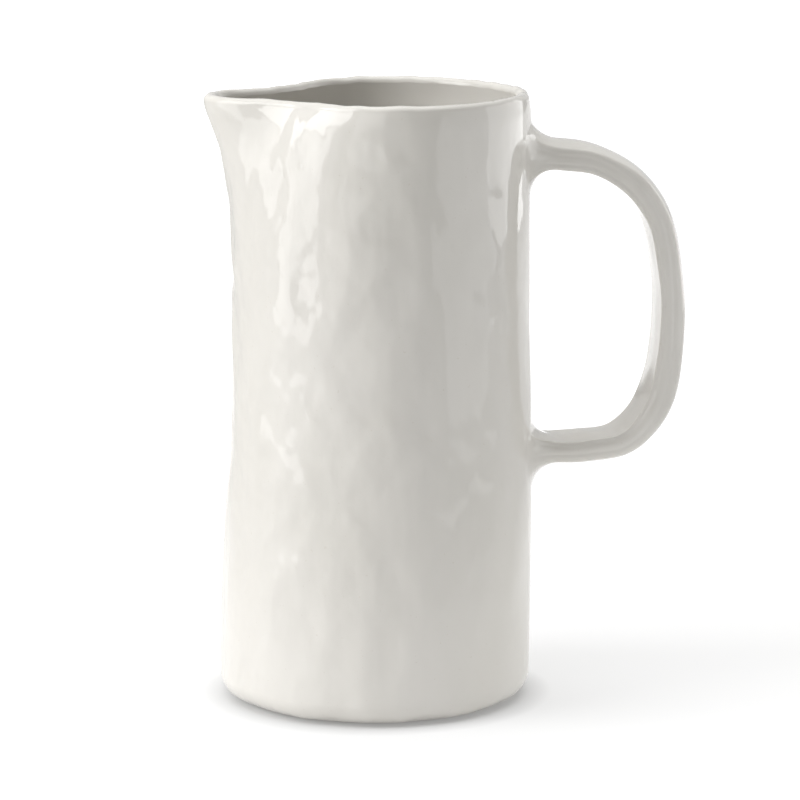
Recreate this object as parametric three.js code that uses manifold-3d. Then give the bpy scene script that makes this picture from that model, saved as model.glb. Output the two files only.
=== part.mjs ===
// Hand-built stoneware pitcher: a tall cylinder with a drawn-out pouring lip, a floor slab,
// a bare clay foot ring and a strap handle luted on with two collars of clay.
// Millimetres, +Z up. The origin is the middle of the bounding box on the table,
// the spout points to -X and the handle to +X.

import * as THREE from 'three';
import { mergeVertices } from 'three/addons/utils/BufferGeometryUtils.js';
import Module from 'manifold-3d';

// ---- driving dimensions ----------------------------------------------------

const HEIGHT = 217;              // table to the top of the lip
const AXIS_X = -23.3;            // mouth axis, left of the middle because the handle is long
const MOUTH_RADIUS = 52.8;       // outside radius over the upper half
const LIP_TUCK = 1.1;            // the last stretch below the lip leans in by this much
const TUCK_HEIGHT = 8;
const BASE_RADIUS = 55.8;        // outside radius just above the heel
const SWELL_FROM = 10;           // the wall narrows between these two heights
const SWELL_TO = 155;
const BASE_SHIFT = -2.5;         // the hand-built cylinder stands a little off its mouth axis
const SHIFT_FROM = 5;
const SHIFT_TO = 105;

const LIP_THICK = 4.4;           // wall thickness at the rounded lip
const WALL_THICK = 5.0;          // wall thickness near the floor
const GAP = 0.3;                 // clearance between pieces that touch

const BEAK_REACH = 11.9;         // how far the spout is drawn out at the lip
const BEAK_HALF_WIDTH = 17;
const BEAK_ROUND = 3.7;          // exponent that rounds the end of the spout
const BEAK_SOFT = 5;             // depth over which the spout front stays upright
const BEAK_FADE = 17;            // depth over which the spout fades into the wall
const PINCH_DEPTH = 9.8;         // how far the throat is pinched in beside the spout
const PINCH_ANGLE = 42;          // degrees from the spout to the deepest pinch
const PINCH_SPREAD = 31;
const PINCH_FADE = 28;
const LIP_DIP = 0.5;             // the lip is this much lower at the spout

const SEAM_HEIGHT = 9;           // wall meets floor slab here
const FLOOR_TOP = 7;
const FLOOR_FILLET = 5;
const HEEL_RADIUS = 8;
const HEEL_LIFT = 0.6;           // glazed heel stays clear of the table
const FOOT_INNER = 41;
const FOOT_OUTER = 46.8;
const FOOT_HEIGHT = 0.9;
const RECESS_HEIGHT = 2.6;       // hollow under the middle of the floor
const RECESS_RADIUS = 38;

const STRAP_WIDTH = 25;
const STRAP_CROWN = 2.3;         // bulge of the outer face of the strap
const STRAP_EDGE = 1.3;          // rounding of the strap's edges
const STRAP_THICK = [11.2, 9.8, 9.9, 10, 10.9, 9.4, 8.6];  // even steps from top to bottom
const STRAP_STEPS = 40;

const COLLAR_LENGTH = 10;        // collars stand this far out from the wall
const COLLAR_BURY = 7;           // and reach this far into it before they are trimmed
const COLLAR_SPREAD = 11;        // widening to each side, up to the buried end
const COLLAR_ROUNDING = 0.55;    // its corners get rounder as it spreads
const COLLAR_STEPS = 6;

const COLUMNS = 64;              // facets around the wall
const COLUMN_CROWDING = 0.45;    // they stand closer together at the spout

// centreline of the strap, out from the mouth axis and up from the table
const STRAP_LINE = [
  [42, 195.6], [62, 194.7], [76, 192.4], [90, 183.9], [98.4, 172], [103.0, 152], [103.9, 134],
  [101.5, 112.5], [95.8, 98.6], [86.3, 90.2], [72, 87.8], [62, 87.5], [42, 87.4],
];

// ---- materials ---------------------------------------------------------------

const glaze = new THREE.MeshStandardMaterial({ color: 0xe4e1da, roughness: 0.12, metalness: 0 });
const bareClay = new THREE.MeshStandardMaterial({ color: 0xcdc1ae, roughness: 0.85, metalness: 0 });

// ---- shape of the wall ---------------------------------------------------------

const ease = (value, from, to) => THREE.MathUtils.smoothstep(value, from, to);

function outerRadius(z) {
  const tuck = LIP_TUCK * Math.max(0, 1 - (HEIGHT - z) / TUCK_HEIGHT) ** 2;
  return THREE.MathUtils.lerp(BASE_RADIUS, MOUTH_RADIUS, ease(z, SWELL_FROM, SWELL_TO)) - tuck;
}

function axisX(z) {
  return AXIS_X + BASE_SHIFT * (1 - ease(z, SHIFT_FROM, SHIFT_TO));
}

function thickness(z) {
  return THREE.MathUtils.lerp(WALL_THICK, LIP_THICK, ease(z, SEAM_HEIGHT, HEIGHT));
}

// Mid-wall outline at height z. The angle is measured from the spout.
function midWall(angle, z) {
  const depth = HEIGHT - z;
  const side = Math.abs(THREE.MathUtils.radToDeg(angle));
  const pinch = PINCH_DEPTH * Math.exp(-depth / PINCH_FADE)
    * Math.exp(-(((side - PINCH_ANGLE) / PINCH_SPREAD) ** 2));
  const radius = outerRadius(z) - thickness(z) / 2 - pinch;
  const y = radius * Math.sin(angle);
  const sink = (Math.hypot(depth, BEAK_SOFT) - BEAK_SOFT) / BEAK_FADE;
  const front = side < 90 ? Math.exp(-((Math.abs(y) / BEAK_HALF_WIDTH) ** BEAK_ROUND)) : 0;
  const x = axisX(z) - radius * Math.cos(angle) - BEAK_REACH * Math.exp(-sink) * front;
  return new THREE.Vector2(x, y);
}

// Mid-wall point moved out (or in, when negative) square to the outline.
function wallPoint(angle, z, offset) {
  const step = 0.01;
  const here = midWall(angle, z);
  const along = midWall(angle + step, z).sub(midWall(angle - step, z)).normalize();
  return here.add(new THREE.Vector2(-along.y, along.x).multiplyScalar(offset));
}

function columnAngles() {
  const angles = [];
  for (let i = 0; i < COLUMNS; i += 1) {
    const even = Math.PI - (2 * Math.PI * i) / COLUMNS;
    angles.push(even - COLUMN_CROWDING * Math.sin(even));
  }
  return angles;
}

// One ring of the wall at height z. Near the lip the ring follows the lip's dip.
function wallRing(z, offset) {
  return columnAngles().map((angle) => {
    const point = wallPoint(angle, z, offset);
    const dip = LIP_DIP * Math.exp(-((angle / (Math.PI / 3)) ** 4));
    return new THREE.Vector3(point.x, point.y, z - dip * ease(z, HEIGHT / 2, HEIGHT));
  });
}

// ---- solids from rings of points -------------------------------------------------

// Rings of equal length become a closed skin. With capped ends the first and last ring
// are filled; otherwise the last ring joins the first one.
function solidFromRings(rings, capped) {
  const count = rings[0].length;
  const points = rings.flat();
  const faces = [];
  const bands = capped ? rings.length - 1 : rings.length;
  for (let r = 0; r < bands; r += 1) {
    const low = r * count;
    const high = ((r + 1) % rings.length) * count;
    for (let i = 0; i < count; i += 1) {
      const next = (i + 1) % count;
      faces.push(low + i, low + next, high + next, low + i, high + next, high + i);
    }
  }
  if (capped) {
    const last = (rings.length - 1) * count;
    for (let i = 1; i < count - 1; i += 1) {
      faces.push(0, i + 1, i, last, last + i, last + i + 1);
    }
  }
  const geometry = new THREE.BufferGeometry().setFromPoints(points);
  geometry.setIndex(faces);
  geometry.computeVertexNormals();
  return geometry;
}

// ---- body ---------------------------------------------------------------------------

function wallGeometry() {
  const half = LIP_THICK / 2;
  const shoulder = HEIGHT - half;
  const outside = [30, 55, 80, 105, 130, 150, 165, 178, 188, 196, 203, 209, shoulder];
  const inside = [209, 201, 190, 178, 165, 145, 115, 80, 45, 20];
  const bottom = SEAM_HEIGHT + GAP / 2;
  const rings = [wallRing(bottom, thickness(bottom) / 2)];
  outside.forEach((z) => rings.push(wallRing(z, thickness(z) / 2)));
  for (let degrees = 30; degrees <= 150; degrees += 30) {
    const turn = THREE.MathUtils.degToRad(degrees);
    rings.push(wallRing(shoulder + half * Math.sin(turn), half * Math.cos(turn)));
  }
  rings.push(wallRing(shoulder, -half));
  inside.forEach((z) => rings.push(wallRing(z, -thickness(z) / 2)));
  rings.push(wallRing(bottom, -thickness(bottom) / 2));
  return solidFromRings(rings, false);
}

// Turns a profile of [radius, height] pairs about the base axis.
function turned(profile, segments) {
  const geometry = new THREE.LatheGeometry(profile.map(([r, z]) => new THREE.Vector2(r, z)), segments);
  geometry.rotateX(Math.PI / 2);
  geometry.translate(AXIS_X + BASE_SHIFT, 0, 0);
  return geometry;
}

function arc(centreR, centreZ, radius, from, to, steps) {
  const points = [];
  for (let i = 0; i <= steps; i += 1) {
    const turn = THREE.MathUtils.degToRad(from + ((to - from) * i) / steps);
    points.push([centreR + radius * Math.cos(turn), centreZ + radius * Math.sin(turn)]);
  }
  return points;
}

function slabGeometry() {
  const seatTop = FOOT_HEIGHT + GAP;
  const top = SEAM_HEIGHT - GAP / 2;
  const heelCentre = BASE_RADIUS - HEEL_RADIUS;
  const innerRadius = BASE_RADIUS - WALL_THICK;
  const filletTop = FLOOR_TOP + FLOOR_FILLET;
  const filletEnd = Math.asin((filletTop - top) / FLOOR_FILLET);
  const profile = [
    [0, RECESS_HEIGHT], [RECESS_RADIUS, RECESS_HEIGHT], [FOOT_INNER - 1, seatTop],
    [FOOT_OUTER + 0.6, seatTop],
    ...arc(heelCentre, HEEL_LIFT + HEEL_RADIUS, HEEL_RADIUS, -88, 0, 6),
    [BASE_RADIUS, top],
    ...arc(innerRadius - FLOOR_FILLET, filletTop, FLOOR_FILLET,
      -THREE.MathUtils.radToDeg(filletEnd), -90, 3),
    [0, FLOOR_TOP],
  ];
  return turned(profile, COLUMNS);
}

function footGeometry() {
  const edge = 0.3;
  const profile = [
    [FOOT_INNER, edge], [FOOT_INNER + edge, 0], [FOOT_OUTER - edge, 0], [FOOT_OUTER, edge],
    [FOOT_OUTER, FOOT_HEIGHT], [FOOT_INNER, FOOT_HEIGHT], [FOOT_INNER, edge],
  ];
  return turned(profile, COLUMNS);
}

// ---- handle ---------------------------------------------------------------------------

const strapLine = new THREE.CatmullRomCurve3(
  STRAP_LINE.map(([out, up]) => new THREE.Vector3(AXIS_X + out, 0, up)), false, 'centripetal');

// Place on the strap's centreline where it crosses the end of a collar.
function collarCrossing(from, to) {
  const target = AXIS_X + MOUTH_RADIUS + COLLAR_LENGTH;
  let [low, high] = [from, to];
  for (let i = 0; i < 40; i += 1) {
    const middle = (low + high) / 2;
    if (strapLine.getPointAt(middle).x < target) low = middle;
    else high = middle;
  }
  return (low + high) / 2;
}

// Section of the strap: crowned outside, flat inside, rounded edges.
// Each point is [towards the outside of the handle, along Y].
function strapSection(halfWide, halfThick, edge) {
  const shoulder = halfThick - STRAP_CROWN;
  const points = [];
  for (let i = 0; i <= 6; i += 1) {
    const across = 1 - i / 3;
    points.push([halfThick - STRAP_CROWN * across ** 2, across * (halfWide - edge)]);
  }
  points.push([shoulder - edge, -halfWide], [edge - halfThick, -halfWide]);
  points.push([-halfThick, edge - halfWide], [-halfThick, halfWide - edge]);
  points.push([edge - halfThick, halfWide], [shoulder - edge, halfWide]);
  return points;
}

function strapThickness(along) {
  const place = THREE.MathUtils.clamp(along, 0, 1) * (STRAP_THICK.length - 1);
  const step = Math.min(Math.floor(place), STRAP_THICK.length - 2);
  return THREE.MathUtils.lerp(STRAP_THICK[step], STRAP_THICK[step + 1], ease(place, step, step + 1));
}

function strapRing(along, moreWide, moreThick) {
  const centre = strapLine.getPointAt(along);
  const tangent = strapLine.getTangentAt(along);
  const outward = new THREE.Vector3(-tangent.z, 0, tangent.x);
  const thick = strapThickness(along);
  const edge = STRAP_EDGE + COLLAR_ROUNDING * Math.max(moreWide, moreThick);
  const section = strapSection(STRAP_WIDTH / 2 + moreWide, thick / 2 + moreThick, edge);
  return section.map(([a, b]) => centre.clone().addScaledVector(outward, a).setY(b));
}

const strapLength = strapLine.getLength();
const upperEnd = collarCrossing(0, 0.5);
const lowerEnd = collarCrossing(1, 0.5);
const seamSpan = GAP / strapLength;

function strapGeometry() {
  const rings = [];
  for (let i = 0; i <= STRAP_STEPS; i += 1) {
    rings.push(strapRing(THREE.MathUtils.lerp(upperEnd + seamSpan, lowerEnd - seamSpan,
      i / STRAP_STEPS), 0, 0));
  }
  return solidFromRings(rings, true);
}

// A collar is the end of the strap with a round fillet above and below and a longer sweep
// to the sides. The direction is +1 at the upper end of the strap and -1 at the lower end.
function collarGeometry(end, direction) {
  const reach = COLLAR_LENGTH + COLLAR_BURY;
  const ring = (back, tall) => strapRing(end - (direction * back) / strapLength,
    COLLAR_SPREAD * (back / reach) ** 2.4, tall);
  const rings = [];
  for (let i = 0; i <= COLLAR_STEPS; i += 1) {
    const turn = ((Math.PI / 2) * i) / COLLAR_STEPS;
    rings.push(ring(COLLAR_LENGTH * Math.sin(turn), COLLAR_LENGTH * (1 - Math.cos(turn))));
  }
  rings.push(ring(reach, COLLAR_LENGTH));
  if (direction > 0) rings.reverse();
  return solidFromRings(rings, true);
}

// ---- booleans ---------------------------------------------------------------------------

const wasm = await Module();
wasm.setup();

function toManifold(geometry) {
  const bare = geometry.clone();
  bare.deleteAttribute('normal');
  bare.deleteAttribute('uv');
  const merged = mergeVertices(bare, 1e-4);
  return new wasm.Manifold(new wasm.Mesh({
    numProp: 3,
    vertProperties: new Float32Array(merged.attributes.position.array),
    triVerts: new Uint32Array(merged.index.array),
  }));
}

function fromManifold(solid) {
  const mesh = solid.getMesh();
  const geometry = new THREE.BufferGeometry();
  geometry.setAttribute('position', new THREE.BufferAttribute(mesh.vertProperties, 3));
  geometry.setIndex(new THREE.BufferAttribute(mesh.triVerts, 1));
  geometry.computeVertexNormals();
  return geometry;
}

// The wall as a filled plug, a gap larger all round, which trims the collars.
function plugSolid() {
  const rings = [50, 80, 105, 130, 150, 165, 178, 188, 196, 203, 209, 215]
    .map((z) => wallRing(z, thickness(z) / 2 + GAP));
  return toManifold(solidFromRings(rings, true));
}

// ---- assembly ---------------------------------------------------------------------------

const pitcher = new THREE.Group();

function add(name, geometry, material) {
  const mesh = new THREE.Mesh(geometry, material);
  mesh.name = name;
  pitcher.add(mesh);
}

const plug = plugSolid();
add('body_wall', wallGeometry(), glaze);
add('base_slab', slabGeometry(), glaze);
add('foot_ring', footGeometry(), bareClay);
add('handle_strap', strapGeometry(), glaze);
add('upper_handle_joint', fromManifold(toManifold(collarGeometry(upperEnd, 1)).subtract(plug)), glaze);
add('lower_handle_joint', fromManifold(toManifold(collarGeometry(lowerEnd, -1)).subtract(plug)), glaze);

export default pitcher;
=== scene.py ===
"""The looks of a hand-built, glazed stoneware pitcher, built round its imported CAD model.

Shapes are worked out in millimetres and become metres when a mesh is made. Each CAD node has one
fine closed mesh that stands for it. The wall and the floor slab are cut from one continuous
surface, and so are the strap and its two collars, so the fired seams don't show.
"""

import math

import bpy
import numpy as np
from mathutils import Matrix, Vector


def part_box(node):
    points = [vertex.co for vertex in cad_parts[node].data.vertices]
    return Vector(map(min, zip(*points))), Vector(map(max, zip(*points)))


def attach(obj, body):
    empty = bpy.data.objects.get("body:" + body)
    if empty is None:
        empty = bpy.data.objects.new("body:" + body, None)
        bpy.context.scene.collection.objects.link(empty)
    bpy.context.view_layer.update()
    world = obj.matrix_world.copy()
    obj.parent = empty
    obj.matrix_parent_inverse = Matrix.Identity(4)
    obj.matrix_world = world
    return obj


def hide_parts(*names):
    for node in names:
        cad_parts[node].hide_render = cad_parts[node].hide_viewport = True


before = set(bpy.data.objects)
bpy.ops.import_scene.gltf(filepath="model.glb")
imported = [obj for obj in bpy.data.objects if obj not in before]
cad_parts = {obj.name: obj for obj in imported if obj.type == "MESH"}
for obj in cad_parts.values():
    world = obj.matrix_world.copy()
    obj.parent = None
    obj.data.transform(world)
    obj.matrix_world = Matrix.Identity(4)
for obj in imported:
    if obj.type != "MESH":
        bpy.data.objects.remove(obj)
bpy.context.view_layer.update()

MM = 0.001


def box_mm(node):
    """Corners of a CAD node's box."""
    low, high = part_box(node)
    return np.array(low) / MM, np.array(high) / MM


wall_low, wall_high = box_mm("body_wall")
slab_low, slab_high = box_mm("base_slab")
foot_low, foot_high = box_mm("foot_ring")

# ---- sizes, mm -------------------------------------------------------------------

HEIGHT = wall_high[2]
BASE_X = (foot_low[0] + foot_high[0]) / 2
BASE_SHIFT = -2.5                # the base stands this far from the mouth axis
AXIS_X = BASE_X - BASE_SHIFT
BASE_RADIUS = (slab_high[1] - slab_low[1]) / 2
MOUTH_RADIUS = 52.8
LIP_TUCK, TUCK_HEIGHT = 1.1, 8
SWELL = (10, 155)                # the wall narrows between these heights
SHIFT = (5, 105)                 # and shifts over its base between these

LIP_THICK, WALL_THICK = 4.4, 5.0
BEAK_REACH, BEAK_HALF_WIDTH, BEAK_ROUND = 11.9, 17, 3.7
BEAK_SOFT, BEAK_FADE = 5, 17
PINCH_DEPTH, PINCH_ANGLE, PINCH_SPREAD, PINCH_FADE = 9.8, 42, 31, 28
LIP_DIP = 0.5

SEAM_HEIGHT = (slab_high[2] + wall_low[2]) / 2
FLOOR_TOP, FLOOR_FILLET = 7, 5
HEEL_RADIUS, HEEL_LIFT = 8, slab_low[2]
FOOT_INNER, FOOT_OUTER, FOOT_HEIGHT = 41, (foot_high[1] - foot_low[1]) / 2, foot_high[2]
RECESS_HEIGHT, RECESS_RADIUS = 2.6, 38
SEAT_GAP = 0.3

# centreline of the strap as (out from the mouth axis, up), from its upper end to its lower
STRAP_LINE = (
    (42, 195.6), (62, 194.7), (76, 192.4), (90, 183.9), (98.4, 172), (103.0, 152), (103.9, 134),
    (101.5, 112.5), (95.8, 98.6), (86.3, 90.2), (72, 87.8), (62, 87.5), (42, 87.4),
)
STRAP_CROWN, STRAP_BELLY, STRAP_BULGE = 2.3, 0.25, 0.55

# how the strap's section changes, in even steps from its upper end to its lower
STRAP_HALF_WIDE = (12.9, 12.6, 12.3, 12.1, 12.2, 12.3, 12.5)
STRAP_THICK = (11.2, 9.8, 9.9, 10, 10.9, 9.4, 8.6)
OUTER_EDGE = (1.8, 1.5, 2.2, 3.2, 3.0, 2.4, 2.4)
INNER_EDGE = (2.4, 2.2, 1.6, 1.4, 1.3, 1.3, 1.6)

COLLAR_LENGTH = 10
COLLAR_SINK = 0.9                # the collars run this far under the wall's surface
COLLAR_PULL = 1.17               # how long they hold the strap's and the wall's directions

COLUMNS = 360
COLUMN_CROWDING = 0.35           # crowds the columns towards the spout


def ease(value, low, high):
    """Smooth step from 0 at low to 1 at high."""
    t = np.clip((value - low) / (high - low), 0, 1)
    return t * t * (3 - 2 * t)


def mix(a, b, t):
    """A blend from a, when t is 0, to b, when t is 1."""
    return a + (b - a) * t


# ---- relief left by the hands ------------------------------------------------------

PRESS_DEPTH, PRESS_SHARE, PRESS_LEVEL = 0.22, 0.9, 0.16
FLAT_BOW = 0.34
DIMPLE_SIZE = 0.16
GRAIN_SIZE = 0.036
INSIDE_WAVE = 0.18
LIP_WAVE, LIP_WAVE_DEPTH = 0.14, 30
STRAP_WOBBLE, STRAP_DIMPLE = 0.18, 0.13
LIP_CALM = (1, 16)               # the relief eases off between these depths under the lip
CALM_OUTSIDE, CALM_INSIDE = 0.4, 0.3
HANDLE_CALM = (25, 65)           # and, in degrees, towards the handle between these angles
CALM_BY_HANDLE = 0.35


class Ripples:
    """A smooth random height field that closes on itself round the pitcher."""

    def __init__(self, seed, count, length_round, length_up):
        random = np.random.default_rng(seed)
        reach = 2 * math.pi * MOUTH_RADIUS
        self.turns = np.round(random.normal(0, reach / length_round, count))
        self.rise = random.normal(0, 2 * math.pi / length_up, count)
        self.phase = random.uniform(0, 2 * math.pi, count)

    def at(self, angle, up):
        total = np.zeros(np.broadcast(angle, up).shape)
        for turns, rise, phase in zip(self.turns, self.rise, self.phase):
            total += np.cos(turns * angle + rise * up + phase)
        return total * math.sqrt(2 / len(self.phase))


class Presses:
    """Shallow flats pressed by fingers and a paddle, meeting in soft ridges."""

    def __init__(self, seed, wide, tall, low, high, softness):
        random = np.random.default_rng(seed)
        columns = round(2 * math.pi * MOUTH_RADIUS / wide)
        rows = round((high - low) / tall)
        self.softness = softness
        self.places = []
        for row in range(rows + 1):
            for column in range(columns):
                angle = 2 * math.pi * (column + 0.5 * (row % 2) + random.uniform(-0.3, 0.3)) / columns
                up = low + tall * (row + random.uniform(-0.35, 0.35))
                depth = random.uniform(0, PRESS_DEPTH)
                self.places.append((angle, up, depth, wide * random.uniform(0.85, 1.2),
                                    tall * random.uniform(0.8, 1.4)))

    def at(self, angle, up, bow):
        total = np.zeros(np.broadcast(angle, up).shape)
        for middle, height, depth, wide, tall in self.places:
            across = np.angle(np.exp(1j * (angle - middle))) * MOUTH_RADIUS
            bowl = bow * ((2 * across / wide) ** 2 + (2 * (up - height) / tall) ** 2) - depth
            total += np.exp(-np.minimum(bowl, 6) / self.softness)
        return -self.softness * np.log(total + 1e-9)


flats = Presses(seed=4, wide=19, tall=42, low=0, high=HEIGHT, softness=0.07)
dimples = Ripples(seed=11, count=70, length_round=24, length_up=40)
grain = Ripples(seed=12, count=90, length_round=9, length_up=15)
inside_waves = Ripples(seed=13, count=40, length_round=45, length_up=60)
lip_waves = Ripples(seed=14, count=24, length_round=26, length_up=1e6)


def outer_relief(angle, up):
    """How far the wall's outside stands out, or sinks when negative."""
    relief = flats.at(angle, up, FLAT_BOW) * PRESS_SHARE - PRESS_LEVEL
    relief = relief + DIMPLE_SIZE * dimples.at(angle, up) + GRAIN_SIZE * grain.at(angle, up)
    beside_handle = math.pi - np.abs(angle)
    smoothed = mix(CALM_BY_HANDLE, 1, ease(beside_handle, *np.radians(HANDLE_CALM)))
    return relief * smoothed * mix(CALM_OUTSIDE, 1, ease(HEIGHT - up, *LIP_CALM))


def inside_relief(z):
    """The same for the wall's inside, at one height and every column."""
    return INSIDE_WAVE * inside_waves.at(ANGLES, z) * mix(CALM_INSIDE, 1, ease(HEIGHT - z, *LIP_CALM))


# ---- the wall's outline ---------------------------------------------------------------

def thickness(z):
    """The wall's thickness, which shrinks from the floor to the lip."""
    return mix(WALL_THICK, LIP_THICK, ease(z, SEAM_HEIGHT, HEIGHT))


def outer_radius(z):
    """The wall's radius, widest at the base and tucked in at the lip."""
    tuck = LIP_TUCK * np.maximum(0, 1 - (HEIGHT - z) / TUCK_HEIGHT) ** 2
    return mix(BASE_RADIUS, MOUTH_RADIUS, ease(z, *SWELL)) - tuck


def mid_wall(angle, z):
    """Mid-wall outline at height z. The angle is measured from the spout."""
    depth = HEIGHT - z
    side = np.abs(np.degrees(angle))
    pinch = PINCH_DEPTH * np.exp(-depth / PINCH_FADE - ((side - PINCH_ANGLE) / PINCH_SPREAD) ** 2)
    radius = outer_radius(z) - thickness(z) / 2 - pinch
    y = radius * np.sin(angle)
    sink = (np.hypot(depth, BEAK_SOFT) - BEAK_SOFT) / BEAK_FADE
    front = np.exp(-((np.abs(y) / BEAK_HALF_WIDTH) ** BEAK_ROUND)) * (side < 90)
    axis = AXIS_X + BASE_SHIFT * (1 - ease(z, *SHIFT))
    return axis - radius * np.cos(angle) - BEAK_REACH * np.exp(-sink) * front, y


def wall_point(angle, z, offset):
    """Mid-wall points moved out, or in when negative, square to the outline. The lip dips a
    little at the spout."""
    step = 0.004
    x, y = mid_wall(angle, z)
    x_after, y_after = mid_wall(angle + step, z)
    x_before, y_before = mid_wall(angle - step, z)
    dx, dy = x_after - x_before, y_after - y_before
    length = np.hypot(dx, dy)
    dip = LIP_DIP * np.exp(-((angle / (math.pi / 3)) ** 4)) * ease(z, HEIGHT / 2, HEIGHT)
    return np.stack([x - offset * dy / length, y + offset * dx / length, z - dip + 0 * x], -1)


def outer_wall(angle, z):
    """Points on the wall's outside, with its relief."""
    return wall_point(angle, z, thickness(z) / 2 + outer_relief(angle, z))


# ---- meshes from rings of points -----------------------------------------------------------

def ring_normals(rings, joined):
    """Normals of a surface made of rings, from the points on each side of each point."""
    points = np.array(rings)
    around = np.roll(points, -1, 1) - np.roll(points, 1, 1)
    if joined:
        along = np.roll(points, -1, 0) - np.roll(points, 1, 0)
    else:
        along = np.gradient(points, axis=0)
    normals = np.cross(around, along)
    return normals / np.maximum(np.linalg.norm(normals, axis=2, keepdims=True), 1e-12)


def skin(name, rings, normals, poles=None):
    """A closed mesh from rings of equal length. With poles, a point closes each end;
    without, the last ring joins the first one."""
    rings, normals = np.array(rings), np.array(normals)
    count = rings.shape[1]
    points = rings.reshape(-1, 3)
    directions = normals.reshape(-1, 3)
    column = np.arange(count)
    after = (column + 1) % count
    faces = []
    bands = len(rings) if poles is None else len(rings) - 1
    for band in range(bands):
        low, high = band * count, ((band + 1) % len(rings)) * count
        faces += np.stack([low + column, low + after, high + after, high + column], 1).tolist()
    if poles is not None:
        first, last = len(points), len(points) + 1
        top = (len(rings) - 1) * count
        faces += [[first, int(b), int(a)] for a, b in zip(column, after)]
        faces += [[last, top + int(a), top + int(b)] for a, b in zip(column, after)]
        points = np.concatenate([points, np.array(poles)])
        ends = [points[first] - rings[1].mean(0), points[last] - rings[-2].mean(0)]
        directions = np.concatenate([directions, [e / np.linalg.norm(e) for e in ends]])
    mesh = bpy.data.meshes.new(name)
    mesh.from_pydata((points * MM).tolist(), [], faces)
    mesh.polygons.foreach_set("use_smooth", [True] * len(mesh.polygons))
    mesh.normals_split_custom_set_from_vertices(directions.tolist())
    mesh.update()
    piece = bpy.data.objects.new(name, mesh)
    bpy.context.collection.objects.link(piece)
    return piece


def column_angles():
    """Angle of each column from the spout, starting and ending at the handle."""
    even = math.pi - 2 * math.pi * np.arange(COLUMNS) / COLUMNS
    return even - COLUMN_CROWDING * np.sin(even)


# ---- body: one profile from under the floor, up the wall, over the lip and down inside ----

ANGLES = column_angles()


def circle(radius, z):
    """A ring round the base's middle. The radius and height may differ from column to column."""
    return np.stack([BASE_X - radius * np.cos(ANGLES), radius * np.sin(ANGLES),
                     z + 0 * ANGLES], -1)


def underside_rings():
    """The recess under the floor and the seat of the foot ring."""
    seat = FOOT_HEIGHT + SEAT_GAP
    rings = [circle(radius, RECESS_HEIGHT) for radius in np.linspace(1, RECESS_RADIUS, 12)]
    slope_end = FOOT_INNER - 1
    for t in np.linspace(0.15, 1, 7):
        rings.append(circle(mix(RECESS_RADIUS, slope_end, t), mix(RECESS_HEIGHT, seat, ease(t, 0, 1))))
    rings += [circle(radius, seat) for radius in np.linspace(FOOT_INNER, FOOT_OUTER + 0.6, 5)]
    return rings


def heel_rings():
    """The rounded heel, from the seat up to the wall, where the relief sets in."""
    rings = []
    centre = BASE_RADIUS - HEEL_RADIUS
    centre_height = HEEL_LIFT + HEEL_RADIUS
    for turn in np.radians(np.linspace(-88, -3, 30)):
        up = centre_height + HEEL_RADIUS * turn
        relief = outer_relief(ANGLES, up) * ease(turn, math.radians(-88), math.radians(-50))
        out = HEEL_RADIUS + relief
        rings.append(circle(centre + out * math.cos(turn), centre_height + out * math.sin(turn)))
    return rings


def outside_rings():
    """The wall's outside, upwards."""
    heights = np.linspace(SEAM_HEIGHT, HEIGHT - LIP_THICK / 2, 216)
    return [outer_wall(ANGLES, z) for z in heights]


def lip_rings():
    """The rounded lip, whose thickness follows the relief on both sides of it."""
    rings = []
    half = LIP_THICK / 2
    shoulder = HEIGHT - half
    outside = outer_relief(ANGLES, shoulder)
    inside = inside_relief(shoulder)
    for turn in np.radians(np.arange(8, 180, 8)):
        out = half * math.cos(turn) + mix(inside, outside, (1 + math.cos(turn)) / 2)
        ring = wall_point(ANGLES, shoulder, out)
        ring[:, 2] += half * math.sin(turn)
        rings.append(ring)
    return rings


def inside_rings():
    """The wall's inside, downwards."""
    heights = np.linspace(HEIGHT - LIP_THICK / 2, FLOOR_TOP + FLOOR_FILLET, 90)
    return [wall_point(ANGLES, z, inside_relief(z) - thickness(z) / 2) for z in heights]


def lip_lift(rings):
    """Hand-made rise and fall of the lip, fading out down the wall."""
    rise = LIP_WAVE * lip_waves.at(ANGLES, 0)
    for ring in rings:
        ring[:, 2] += rise * ease(ring[:, 2], HEIGHT - LIP_WAVE_DEPTH, HEIGHT)


def fillet_rings(start, end, count):
    """Inside corner between wall and floor, from a level direction, 0, to straight down, -90."""
    rings = []
    centre = BASE_RADIUS - WALL_THICK - FLOOR_FILLET
    relief = inside_relief(FLOOR_TOP + FLOOR_FILLET)
    for turn in np.radians(np.linspace(start, end, count)):
        fade = ease(turn, math.radians(-90), 0)
        radius = centre + (FLOOR_FILLET + relief * fade) * math.cos(turn)
        rings.append(circle(radius, FLOOR_TOP + FLOOR_FILLET * (1 + math.sin(turn))))
    return rings


def floor_rings():
    """The floor inside, from the corner to the middle."""
    centre = BASE_RADIUS - WALL_THICK - FLOOR_FILLET
    return [circle(radius, FLOOR_TOP) for radius in np.linspace(centre - 2, 1, 14)]


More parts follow.
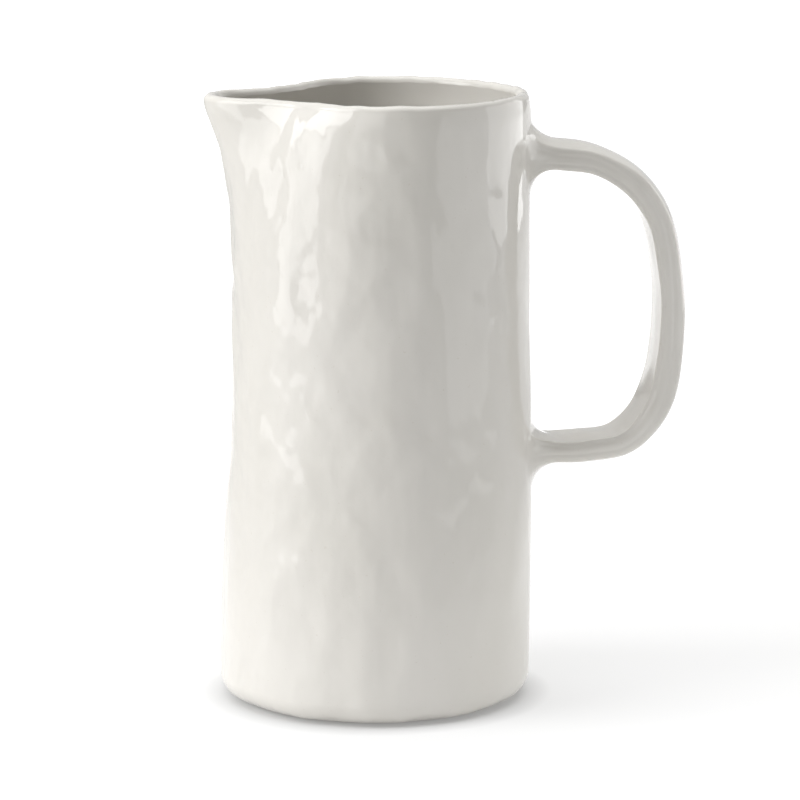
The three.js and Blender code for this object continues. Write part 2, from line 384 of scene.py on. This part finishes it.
def make_body():
    """The wall and the floor slab, cut from one surface at the seam outside and inside."""
    below = underside_rings() + heel_rings()
    outside = outside_rings()
    lip = lip_rings()
    seam_turn = math.degrees(math.asin((SEAM_HEIGHT - FLOOR_TOP) / FLOOR_FILLET - 1))
    inside = inside_rings() + fillet_rings(-5, seam_turn, 6)
    above = fillet_rings(seam_turn - 5, -90, 8) + floor_rings()
    lip_lift(outside + lip + inside)
    rings = np.array(below + outside + lip + inside + above)
    normals = ring_normals(rings, joined=False)
    first = len(below)
    last = len(rings) - len(above)
    wall = skin("wall", rings[first:last], normals[first:last])
    slab_rows = np.r_[0:first + 1, last - 1:len(rings)]
    slab = skin("floor_slab", rings[slab_rows], normals[slab_rows],
                poles=[(BASE_X, 0, RECESS_HEIGHT), (BASE_X, 0, FLOOR_TOP)])
    return wall, slab


def make_foot():
    """The foot ring, with its lower edges worn round."""
    edge = 0.35
    profile = [(FOOT_INNER, edge), (FOOT_INNER + 0.1, 0.1), (FOOT_INNER + edge, 0.0)]
    profile += [(radius, 0.0) for radius in np.linspace(FOOT_INNER + 1, FOOT_OUTER - 1, 8)]
    profile += [(FOOT_OUTER - edge, 0.0), (FOOT_OUTER - 0.1, 0.1), (FOOT_OUTER, edge)]
    profile += [(FOOT_OUTER, FOOT_HEIGHT), (FOOT_INNER, FOOT_HEIGHT)]
    rings = [circle(radius, z) for radius, z in profile]
    return skin("foot", rings, ring_normals(rings, joined=True))


# ---- handle ------------------------------------------------------------------------------

def catmull_rom(points, per_span):
    """Centripetal Catmull-Rom curve through the points."""
    points = np.array(points, float)
    padded = np.concatenate([[2 * points[0] - points[1]], points, [2 * points[-1] - points[-2]]])
    curve = []
    for p0, p1, p2, p3 in zip(padded, padded[1:], padded[2:], padded[3:]):
        t1 = np.linalg.norm(p1 - p0) ** 0.5
        t2 = t1 + np.linalg.norm(p2 - p1) ** 0.5
        t3 = t2 + np.linalg.norm(p3 - p2) ** 0.5
        t = np.linspace(t1, t2, per_span, endpoint=False)[:, None]
        a1 = mix(p0, p1, t / t1)
        a2 = mix(p1, p2, (t - t1) / (t2 - t1))
        a3 = mix(p2, p3, (t - t2) / (t3 - t2))
        b1 = mix(a1, a2, t / t2)
        b2 = mix(a2, a3, (t - t1) / (t3 - t1))
        curve.append(mix(b1, b2, (t - t1) / (t2 - t1)))
    return np.concatenate(curve + [points[-1:]])


class StrapLine:
    """Centreline of the strap in the XZ plane, read by distance from its upper end."""

    def __init__(self):
        self.points = catmull_rom(STRAP_LINE, 60) + [AXIS_X, 0]
        steps = np.linalg.norm(np.diff(self.points, axis=0), axis=1)
        self.distance = np.concatenate([[0], np.cumsum(steps)])
        self.length = self.distance[-1]

    def at(self, distance):
        """The point at a distance."""
        return np.array([np.interp(distance, self.distance, self.points[:, k]) for k in (0, 1)])

    def tangent(self, distance):
        step = self.at(distance + 0.5) - self.at(distance - 0.5)
        return step / np.linalg.norm(step)

    def crossing(self, x, upper):
        """Distance at which the upper or the lower arm is x from the middle of the part."""
        half = self.distance < self.length / 2 if upper else self.distance > self.length / 2
        xs, distances = self.points[half, 0], self.distance[half]
        order = np.argsort(xs)
        return np.interp(x, xs[order], distances[order])


def along_strap(values, part):
    """Value at a part of the way from 0, the upper end, to 1, the lower end."""
    spot = np.clip(part, 0, 1) * (len(values) - 1)
    step = min(int(spot), len(values) - 2)
    return mix(values[step], values[step + 1], ease(spot, step, step + 1))


def bezier(a, b, c, steps):
    """Quadratic curve from a to c, drawn towards b, without its first point."""
    t = np.linspace(0, 1, steps + 1)[1:, None]
    a, b, c = np.array(a), np.array(b), np.array(c)
    return (1 - t) ** 2 * a + 2 * t * (1 - t) * b + t * t * c


def strap_outline(half_wide, half_thick, crown, outer_edge, inner_edge):
    """Section of the strap as [towards the outside of the handle, along Y]: a crowned outer
    face, an almost flat inner face and slightly rounded sides."""
    b = np.linspace(half_wide - outer_edge, outer_edge - half_wide, 24)
    outer = np.stack([half_thick - crown * (b / half_wide) ** 2, b], 1)
    slope = 2 * crown * (half_wide - outer_edge) / half_wide ** 2
    corner = outer[-1][0] - slope * outer_edge
    side_start = corner - outer_edge
    side_end = inner_edge - half_thick
    shoulder = STRAP_BULGE - half_wide
    turn = bezier(outer[-1], (corner, shoulder), (side_start, shoulder), 9)
    t = np.linspace(0, 1, 12)[1:]
    bow = STRAP_BULGE * (2 * t - 1) ** 2
    side = np.stack([mix(side_start, side_end, t), bow - half_wide], 1)
    under_turn = bezier(side[-1], (-half_thick, shoulder), (-half_thick, inner_edge - half_wide), 9)
    b = np.linspace(inner_edge - half_wide, half_wide - inner_edge, 24)[1:]
    inner = np.stack([-half_thick - STRAP_BELLY * np.cos(b / half_wide * math.pi / 2) ** 2, b], 1)
    mirror = np.array([1, -1])
    back = np.concatenate([turn, side, under_turn])[::-1] * mirror
    return np.concatenate([outer, turn, side, under_turn, inner, back[1:]])


strap_line = StrapLine()
strap_wobble = Ripples(seed=21, count=12, length_round=1e6, length_up=70)
strap_dimples = Ripples(seed=22, count=30, length_round=250, length_up=38)
UPPER_SEAM = strap_line.crossing(AXIS_X + MOUTH_RADIUS + COLLAR_LENGTH, upper=True)
LOWER_SEAM = strap_line.crossing(AXIS_X + MOUTH_RADIUS + COLLAR_LENGTH, upper=False)


def strap_section(distance):
    """Outline of the strap's section at a distance along it."""
    part = distance / strap_line.length
    wobble = strap_wobble.at(0, distance)
    return strap_outline(
        along_strap(STRAP_HALF_WIDE, part) + STRAP_WOBBLE * wobble,
        along_strap(STRAP_THICK, part) / 2,
        STRAP_CROWN, along_strap(OUTER_EDGE, part), along_strap(INNER_EDGE, part))


def strap_frame(distance):
    """Middle of the section, direction along the strap and direction out of the handle."""
    centre = strap_line.at(distance)
    tangent = strap_line.tangent(distance)
    return centre, tangent, np.array([-tangent[1], tangent[0]])


def strap_ring(distance):
    """The strap's section, set in place."""
    centre, _, outward = strap_frame(distance)
    a, b = strap_section(distance).T
    return np.stack([centre[0] + outward[0] * a, b, centre[1] + outward[1] * a], 1)


def wall_at(across, up):
    """Outer wall on the handle's side, by distance round from the handle's middle."""
    return outer_wall(math.pi - across / MOUTH_RADIUS, up)


def collar_landing(seam, heading, spread_out, spread_in, spread_side):
    """Where a collar lands on the wall, as distances round and up it, with the middle of the
    landing and each point's step further out."""
    centre, _, outward = strap_frame(seam)
    outline = strap_section(seam)
    outward_now = outline / np.abs(outline).max(0)
    normals = outward_now / np.linalg.norm(outward_now, axis=1, keepdims=True)
    reach = (AXIS_X + MOUTH_RADIUS - centre[0]) / heading[0]
    up_sign = np.sign(outward[1])
    foot_up = centre[1] + heading[2] * reach + up_sign * outline[:, 0]
    spread = np.where(normals[:, 0] > 0, spread_out, spread_in)
    spread = mix(spread_side, spread, np.abs(normals[:, 0]) ** 1.5)
    step_across, step_up = normals[:, 1], up_sign * normals[:, 0]
    across = outline[:, 1] + spread * step_across
    up = foot_up + spread * step_up
    return across, up, foot_up.mean(), step_across, step_up


def collar_rings(seam, direction, **spreads):
    """Rings from the strap's seam to the wall. They start along the strap and land along the
    wall, then sink under its surface. The direction is -1 at the strap's upper end."""
    start = strap_ring(seam)
    tangent = strap_frame(seam)[1]
    heading = np.array([tangent[0], 0, tangent[1]]) * direction
    across, up, middle_up, step_across, step_up = collar_landing(seam, heading, **spreads)
    landing = wall_at(across, up)
    beyond = wall_at(across + 0.3 * step_across, up + 0.3 * step_up)
    slide = (beyond - landing) / np.linalg.norm(beyond - landing, axis=1, keepdims=True)
    pull = COLLAR_PULL * np.linalg.norm(landing - start, axis=1, keepdims=True)
    rings = []
    for t in np.linspace(0, 1, 30)[1:]:
        rings.append((2 * t ** 3 - 3 * t ** 2 + 1) * start + (t ** 3 - 2 * t ** 2 + t) * pull * heading
                     + (3 * t ** 2 - 2 * t ** 3) * landing + (t ** 3 - t ** 2) * pull * slide)
    inward = np.array([-1.0, 0, 0])
    for extra, scale, depth in ((0.7, 1, 0.2), (1.0, 1, 0.6), (0.4, 0.9, 1), (0, 0.5, 1)):
        hidden = wall_at((across + extra * step_across) * scale,
                         middle_up + (up + extra * step_up - middle_up) * scale)
        rings.append(hidden + inward * COLLAR_SINK * depth)
    pole = wall_at(np.zeros(1), np.array([middle_up]))[0] + inward * COLLAR_SINK
    return rings, pole


def make_handle():
    """The strap and its collars, cut from one swept surface at the two seams."""
    upper, upper_pole = collar_rings(UPPER_SEAM, -1, spread_out=8.5, spread_in=11, spread_side=10)
    lower, lower_pole = collar_rings(LOWER_SEAM, 1, spread_out=9.5, spread_in=8, spread_side=9)
    distances = np.linspace(UPPER_SEAM, LOWER_SEAM, 200)
    rings = np.array(upper[::-1] + [strap_ring(d) for d in distances] + lower)
    normals = ring_normals(rings, joined=False)
    first, last = len(upper), len(upper) + len(distances) - 1
    fade = np.ones(len(rings))
    fade[:first] = ease(np.arange(first), first - 24, first)
    fade[last + 1:] = fade[:first][::-1][:len(lower)]
    around = np.linspace(0, 2 * math.pi, rings.shape[1], endpoint=False)
    along = np.linspace(0, strap_line.length, len(rings))
    relief = STRAP_DIMPLE * strap_dimples.at(around[None, :], along[:, None]) * fade[:, None]
    rings = rings + relief[..., None] * normals
    normals = ring_normals(rings, joined=False)
    seams = [rings[k].mean(0) for k in (first, last)]
    strap = skin("strap", rings[first:last + 1], normals[first:last + 1], poles=seams)
    upper_collar = skin("upper_collar", rings[:first + 1], normals[:first + 1],
                        poles=[upper_pole, seams[0]])
    lower_collar = skin("lower_collar", rings[last:], normals[last:], poles=[seams[1], lower_pole])
    return strap, upper_collar, lower_collar


# ---- materials -----------------------------------------------------------------------------

def linear(red, green, blue):
    """Linear colour from one given as 0 to 255 on a screen."""
    return [(c / 255 / 12.92 if c < 10.3 else ((c / 255 + 0.055) / 1.055) ** 2.4)
            for c in (red, green, blue)] + [1]


class Nodes:
    """Short names for building node trees. Each method returns what its nodes give out."""

    def __init__(self, tree):
        self.tree = tree

    def coordinates(self, kind):
        return self.tree.nodes.new("ShaderNodeTexCoord").outputs[kind]

    def split(self, vector):
        node = self.tree.nodes.new("ShaderNodeSeparateXYZ")
        self.link(vector, node.inputs["Vector"])
        return node.outputs

    def link(self, source, target):
        self.tree.links.new(source, target)

    def noise(self, scale, detail=2, roughness=0.5, stretch=(1, 1, 1)):
        mapping = self.tree.nodes.new("ShaderNodeMapping")
        mapping.inputs["Scale"].default_value = stretch
        self.link(self.coordinates("Object"), mapping.inputs["Vector"])
        noise = self.tree.nodes.new("ShaderNodeTexNoise")
        noise.inputs["Scale"].default_value = scale
        noise.inputs["Detail"].default_value = detail
        noise.inputs["Roughness"].default_value = roughness
        self.link(mapping.outputs["Vector"], noise.inputs["Vector"])
        return noise.outputs["Fac"]

    def spread(self, value, low, high, to_low, to_high):
        node = self.tree.nodes.new("ShaderNodeMapRange")
        for key, number in (("From Min", low), ("From Max", high),
                            ("To Min", to_low), ("To Max", to_high)):
            node.inputs[key].default_value = number
        self.link(value, node.inputs["Value"])
        return node.outputs["Result"]

    def math(self, operation, *values):
        node = self.tree.nodes.new("ShaderNodeMath")
        node.operation = operation
        for socket, value in zip(node.inputs, values):
            self.link(value, socket)
        return node.outputs["Value"]

    def square(self, value, start):
        """Square of how far a value is from a start."""
        node = self.tree.nodes.new("ShaderNodeMath")
        node.operation = "SUBTRACT"
        node.inputs[1].default_value = start
        self.link(value, node.inputs[0])
        return self.math("MULTIPLY", node.outputs["Value"], node.outputs["Value"])

    def blend(self, factor, first, second):
        node = self.tree.nodes.new("ShaderNodeMix")
        node.data_type = "RGBA"
        self.link(factor, node.inputs["Factor"])
        for key, colour in (("A", first), ("B", second)):
            socket = next(s for s in node.inputs if s.name == key and s.type == "RGBA")
            if isinstance(colour, list):
                socket.default_value = colour
            else:
                self.link(colour, socket)
        return next(s for s in node.outputs if s.type == "RGBA")

    def bump(self, height, distance, strength, before=None):
        node = self.tree.nodes.new("ShaderNodeBump")
        node.inputs["Distance"].default_value = distance
        node.inputs["Strength"].default_value = strength
        self.link(height, node.inputs["Height"])
        if before is not None:
            self.link(before, node.inputs["Normal"])
        return node.outputs["Normal"]


def new_material(name):
    """A material, its nodes and its shader."""
    material = bpy.data.materials.new(name)
    material.use_nodes = True
    return material, Nodes(material.node_tree), material.node_tree.nodes["Principled BSDF"]


def glaze_material():
    """Warm off-white glaze: glossy, a little uneven in tone where it pooled, and with the
    faint ripple of a fired surface."""
    material, nodes, shader = new_material("glaze")
    cloud = nodes.spread(nodes.noise(22, 3, 0.5, (1, 1, 0.45)), 0.35, 0.65, 0, 1)
    tone = nodes.blend(cloud, linear(226, 223, 217), linear(222, 219, 212))
    speck = nodes.spread(nodes.noise(900, 1), 0.74, 0.8, 0, 0.35)
    tone = nodes.blend(speck, tone, linear(206, 199, 186))
    nodes.link(tone, shader.inputs["Base Color"])
    shine = nodes.spread(nodes.noise(60, 2), 0.3, 0.7, 0.035, 0.065)
    nodes.link(shine, shader.inputs["Roughness"])
    shader.inputs["IOR"].default_value = 1.52
    ripple = nodes.bump(nodes.noise(420, 2), 0.00004, 0.5)
    nodes.link(ripple, shader.inputs["Normal"])
    return material


def clay_material():
    """Bare stoneware: matte, sandy and slightly dirty where it has stood."""
    material, nodes, shader = new_material("bare_clay")
    patch = nodes.spread(nodes.noise(70, 4), 0.35, 0.65, 0, 1)
    tone = nodes.blend(patch, linear(203, 190, 168), linear(186, 170, 146))
    grit = nodes.spread(nodes.noise(1600, 2, 0.7), 0.6, 0.72, 0, 0.7)
    tone = nodes.blend(grit, tone, linear(146, 124, 98))
    nodes.link(tone, shader.inputs["Base Color"])
    nodes.link(nodes.spread(patch, 0, 1, 0.78, 0.92), shader.inputs["Roughness"])
    shader.inputs["IOR"].default_value = 1.45
    coarse = nodes.bump(nodes.noise(700, 3, 0.6), 0.0002, 0.6)
    nodes.link(nodes.bump(nodes.noise(2200, 2), 0.0001, 0.4, coarse), shader.inputs["Normal"])
    return material


# the floor's glow is painted light: its strength near the pitcher and far behind it
NEAR_PAINTED_LIGHT, FAR_PAINTED_LIGHT = 0.44, 0.62
# painted contact shadow: how much of the near glow is left under the pitcher
PAINTED_SHADOW_GLOW = 0.45              # share of the near glow that is left under the pitcher


def floor_material():
    """A plain pale floor with painted light: it glows softly behind the pitcher and round it,
    as a lit sweep does. The glow is weaker close to the pitcher, a painted contact shadow.
    Lengths are in metres."""
    material, nodes, shader = new_material("pale_floor")
    shader.inputs["Base Color"].default_value = linear(190, 190, 190)
    shader.inputs["Roughness"].default_value = 0.9
    shader.inputs["Specular IOR Level"].default_value = 0.1
    spot = nodes.split(nodes.coordinates("Object"))
    side = nodes.math("ABSOLUTE", spot["X"])
    # painted light: the floor glows in a strip round the pitcher and behind it
    near_painted_light = nodes.math("MULTIPLY", nodes.spread(spot["Y"], -0.26, -0.15, 0, NEAR_PAINTED_LIGHT),
                      nodes.spread(side, 0.15, 0.3, 1, 0))
    out = nodes.math("SQRT", nodes.math("ADD", nodes.square(spot["X"], BASE_X * MM),
                                        nodes.square(spot["Y"], 0)))
    # painted contact shadow: the glow is weaker close to the pitcher's base
    near_painted_light = nodes.math("MULTIPLY", near_painted_light, nodes.spread(out, 0.052, 0.064, PAINTED_SHADOW_GLOW, 1))
    # painted light far behind the pitcher, strongest towards the right
    far_painted_light = nodes.math("MULTIPLY", nodes.spread(spot["Y"], 0.15, 0.9, 0, FAR_PAINTED_LIGHT),
                     nodes.spread(nodes.square(spot["X"], 0.9), 0.3, 1.8, 1, 0))
    shader.inputs["Emission Color"].default_value = (1, 1, 1, 1)
    nodes.link(nodes.math("ADD", near_painted_light, far_painted_light), shader.inputs["Emission Strength"])
    return material


# ---- the pieces ------------------------------------------------------------------------------

def place(piece, material, slot, *nodes):
    """Gives a piece its material, ties it to the body and hides the CAD nodes it stands for."""
    piece.data.materials.append(material)
    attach(piece, "root")
    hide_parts(*nodes)


glaze = glaze_material()
wall, floor_slab = make_body()
strap, upper_collar, lower_collar = make_handle()
place(wall, glaze, "glaze", "body_wall")
place(floor_slab, glaze, "glaze", "base_slab")
place(strap, glaze, "glaze", "handle_strap")
place(upper_collar, glaze, "glaze", "upper_handle_joint")
place(lower_collar, glaze, "glaze", "lower_handle_joint")
place(make_foot(), clay_material(), "bare_clay", "foot_ring")


# ---- floor, camera and light --------------------------------------------------------------------

def make_floor():
    """A square floor at the height the pitcher stands on."""
    reach = 9
    mesh = bpy.data.meshes.new("floor")
    corners = [(-reach, -reach, 0), (reach, -reach, 0), (reach, reach, 0), (-reach, reach, 0)]
    mesh.from_pydata(corners, [], [(0, 1, 2, 3)])
    floor = bpy.data.objects.new("floor", mesh)
    bpy.context.collection.objects.link(floor)
    mesh.materials.append(floor_material())


def aim(item, stand, target):
    """Puts a camera or lamp somewhere and turns it to a target."""
    item.location = stand
    item.rotation_euler = (Vector(target) - Vector(stand)).to_track_quat("-Z", "Y").to_euler()


CAMERA_AZIMUTH = math.radians(-5.5)
CAMERA_DISTANCE = 1400
CAMERA_DROP = math.radians(6.3)   # the lip's ring is seen this far from above
CAMERA_SIDE = 6.7                 # the camera passes this far right of the mouth axis
CAMERA_AIM_HEIGHT = 106.35
CAMERA_LENS = 179.5


def make_camera():
    """A long lens from the pitcher's front, a little to the left and from above."""
    right = np.array([math.cos(CAMERA_AZIMUTH), math.sin(CAMERA_AZIMUTH), 0])
    back = np.array([math.sin(CAMERA_AZIMUTH), -math.cos(CAMERA_AZIMUTH), 0])
    rise = HEIGHT - LIP_THICK / 2 + CAMERA_DISTANCE * math.tan(CAMERA_DROP)
    base = np.array([AXIS_X, 0, 0]) + right * CAMERA_SIDE
    camera = bpy.data.objects.new("camera", bpy.data.cameras.new("camera"))
    camera.data.lens = CAMERA_LENS
    camera.data.sensor_width = 36
    camera.data.clip_end = 50
    bpy.context.collection.objects.link(camera)
    bpy.context.scene.camera = camera
    aim(camera, (base + back * CAMERA_DISTANCE + [0, 0, rise]) * MM,
        (base + [0, 0, CAMERA_AIM_HEIGHT]) * MM)


def softbox(name, azimuth, height, distance, size, strength, target=(0, 0, 0.11)):
    """A rectangular light, hidden from the camera, that aims at a target. Lengths are in metres,
    and the azimuth is 0 in front of the pitcher and 90 on its right. The strength is the
    radiance of its face."""
    light = bpy.data.lights.new(name, "AREA")
    light.shape = "RECTANGLE"
    light.size, light.size_y = size
    light.energy = strength * size[0] * size[1] * math.pi
    lamp = bpy.data.objects.new(name, light)
    bpy.context.collection.objects.link(lamp)
    lamp.visible_camera = False
    turn = math.radians(azimuth)
    aim(lamp, (distance * math.sin(turn), -distance * math.cos(turn), height), target)


def make_world(front, back, left, overhead):
    """Dark in front, lit like a backdrop behind and on the left, and brightest overhead."""
    world = bpy.data.worlds.new("studio")
    world.use_nodes = True
    nodes = Nodes(world.node_tree)
    direction = nodes.split(nodes.coordinates("Generated"))
    behind = nodes.spread(direction["Y"], 0.1, 0.7, front, back)
    aside = nodes.spread(direction["X"], -0.9, -0.7, left, 0)
    above = nodes.spread(direction["Z"], 0.75, 0.95, 0, overhead)
    backdrop = nodes.math("MAXIMUM", behind, aside)
    background = nodes.tree.nodes["Background"]
    background.inputs["Color"].default_value = (1, 1, 1, 1)
    nodes.link(nodes.math("ADD", backdrop, above), background.inputs["Strength"])
    bpy.context.scene.world = world


def make_lights():
    """A strong key high on the left over a window that shows in the glaze, a low card on the
    right whose edge shows too, and dim panels on the right and in front on the left."""
    softbox("key", -76, 0.85, 1.15, (0.9, 0.9), 4.0)
    softbox("window", -80, 0.2, 1.1, (0.62, 0.38), 2.0, (0, 0, 0.2))
    softbox("right_card", 60, 0.16, 0.58, (0.46, 0.3), 0.85, (0, 0, 0.16))
    softbox("right_panel", 108, 0.32, 1.0, (1.0, 0.6), 1.7, (0, 0, 0.32))
    softbox("front_panel", -30, 0.55, 1.6, (1.0, 0.8), 1.1, (0, 0, 0.4))


make_floor()
make_camera()
make_world(0.0, 0.6, 0.5, 2.4)
make_lights()
bpy.context.scene.view_settings.view_transform = "Standard"
